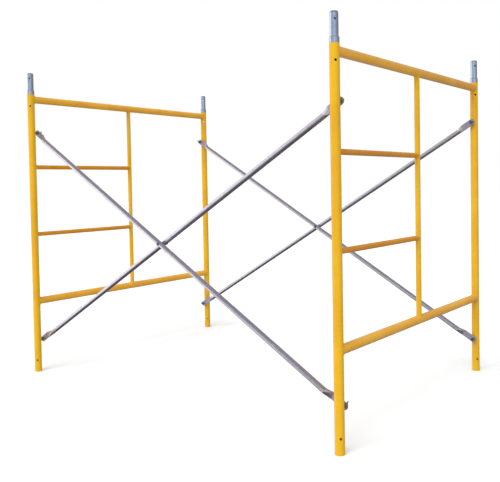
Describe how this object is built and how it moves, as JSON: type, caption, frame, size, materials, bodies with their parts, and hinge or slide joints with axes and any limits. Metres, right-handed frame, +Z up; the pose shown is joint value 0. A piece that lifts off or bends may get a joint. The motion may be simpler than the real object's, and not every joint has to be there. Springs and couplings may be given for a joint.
{
  "type": "frame scaffold section",
  "caption": "Steel frame scaffold section: painted ladder frames held apart by crossed galvanised braces on latched studs, with coupling pins for stacking.",
  "frame": {"origin": "on the ground plane under the middle of the bay, halfway between the left and right frames and between the front and rear legs", "axes": "+X along the bay from the left frame to the right frame, +Y from the ladder side (front legs) to the open side (rear legs), +Z up"},
  "size_m": [2.1766, 1.5668, 1.8034],
  "materials": {
    "frame_paint": "glossy golden yellow enamel",
    "stud_steel": "dull zinc-plated",
    "latch_steel": "dark oiled steel",
    "pin_zinc": "galvanised",
    "brace_zinc": "galvanised, satin",
    "bolt_steel": "dark zinc-plated"
  },
  "bodies": {
    "section": {"left_front_leg": "frame_paint", "left_front_lower_stud": "stud_steel", "left_front_upper_stud": "stud_steel", "left_rear_leg": "frame_paint", "left_rear_lower_stud": "stud_steel", "left_rear_upper_stud": "stud_steel", "left_latch_pins": "latch_steel", "left_top_bar": "frame_paint", "left_bottom_bar": "frame_paint", "left_centre_post": "frame_paint", "left_upper_rung": "frame_paint", "left_lower_rung": "frame_paint", "right_front_leg": "frame_paint", "right_front_lower_stud": "stud_steel", "right_front_upper_stud": "stud_steel", "right_rear_leg": "frame_paint", "right_rear_lower_stud": "stud_steel", "right_rear_upper_stud": "stud_steel", "right_latch_pins": "latch_steel", "right_top_bar": "frame_paint", "right_bottom_bar": "frame_paint", "right_centre_post": "frame_paint", "right_upper_rung": "frame_paint", "right_lower_rung": "frame_paint", "front_falling_brace": "brace_zinc", "front_rising_brace": "brace_zinc", "front_crossing_bolt": "bolt_steel", "front_crossing_nut": "bolt_steel", "front_crossing_spacer": "bolt_steel", "rear_falling_brace": "brace_zinc", "rear_rising_brace": "brace_zinc", "rear_crossing_bolt": "bolt_steel", "rear_crossing_nut": "bolt_steel", "rear_crossing_spacer": "bolt_steel"},
    "left_front_pin": {"left_front_coupling_pin": "pin_zinc", "left_front_pin_collar": "pin_zinc"},
    "left_front_lower_latch": {"left_front_lower_latch": "latch_steel"},
    "left_front_upper_latch": {"left_front_upper_latch": "latch_steel"},
    "left_rear_pin": {"left_rear_coupling_pin": "pin_zinc", "left_rear_pin_collar": "pin_zinc"},
    "left_rear_lower_latch": {"left_rear_lower_latch": "latch_steel"},
    "left_rear_upper_latch": {"left_rear_upper_latch": "latch_steel"},
    "right_front_pin": {"right_front_coupling_pin": "pin_zinc", "right_front_pin_collar": "pin_zinc"},
    "right_front_lower_latch": {"right_front_lower_latch": "latch_steel"},
    "right_front_upper_latch": {"right_front_upper_latch": "latch_steel"},
    "right_rear_pin": {"right_rear_coupling_pin": "pin_zinc", "right_rear_pin_collar": "pin_zinc"},
    "right_rear_lower_latch": {"right_rear_lower_latch": "latch_steel"},
    "right_rear_upper_latch": {"right_rear_upper_latch": "latch_steel"}
  },
  "joints": [
    {"name": "left_front_pin_lift", "type": "slide", "parent": "section", "child": "left_front_pin", "axis": [0, 0, 1], "range_m": [0, 0.11]},
    {"name": "left_front_lower_latch_flip", "type": "hinge", "parent": "section", "child": "left_front_lower_latch", "pos_m": [-1.0668, -0.707, 0.1905], "axis": [-1, 0, 0], "range_deg": [0, 65]},
    {"name": "left_front_upper_latch_flip", "type": "hinge", "parent": "section", "child": "left_front_upper_latch", "pos_m": [-1.0668, -0.707, 1.4478], "axis": [-1, 0, 0], "range_deg": [0, 65]},
    {"name": "left_rear_pin_lift", "type": "slide", "parent": "section", "child": "left_rear_pin", "axis": [0, 0, 1], "range_m": [0, 0.11]},
    {"name": "left_rear_lower_latch_flip", "type": "hinge", "parent": "section", "child": "left_rear_lower_latch", "pos_m": [-1.0668, 0.707, 0.1905], "axis": [1, 0, 0], "range_deg": [0, 65]},
    {"name": "left_rear_upper_latch_flip", "type": "hinge", "parent": "section", "child": "left_rear_upper_latch", "pos_m": [-1.0668, 0.707, 1.4478], "axis": [1, 0, 0], "range_deg": [0, 65]},
    {"name": "right_front_pin_lift", "type": "slide", "parent": "section", "child": "right_front_pin", "axis": [0, 0, 1], "range_m": [0, 0.11]},
    {"name": "right_front_lower_latch_flip", "type": "hinge", "parent": "section", "child": "right_front_lower_latch", "pos_m": [1.0668, -0.707, 0.1905], "axis": [-1, 0, 0], "range_deg": [0, 65]},
    {"name": "right_front_upper_latch_flip", "type": "hinge", "parent": "section", "child": "right_front_upper_latch", "pos_m": [1.0668, -0.707, 1.4478], "axis": [-1, 0, 0], "range_deg": [0, 65]},
    {"name": "right_rear_pin_lift", "type": "slide", "parent": "section", "child": "right_rear_pin", "axis": [0, 0, 1], "range_m": [0, 0.11]},
    {"name": "right_rear_lower_latch_flip", "type": "hinge", "parent": "section", "child": "right_rear_lower_latch", "pos_m": [1.0668, 0.707, 0.1905], "axis": [1, 0, 0], "range_deg": [0, 65]},
    {"name": "right_rear_upper_latch_flip", "type": "hinge", "parent": "section", "child": "right_rear_upper_latch", "pos_m": [1.0668, 0.707, 1.4478], "axis": [1, 0, 0], "range_deg": [0, 65]}
  ]
}
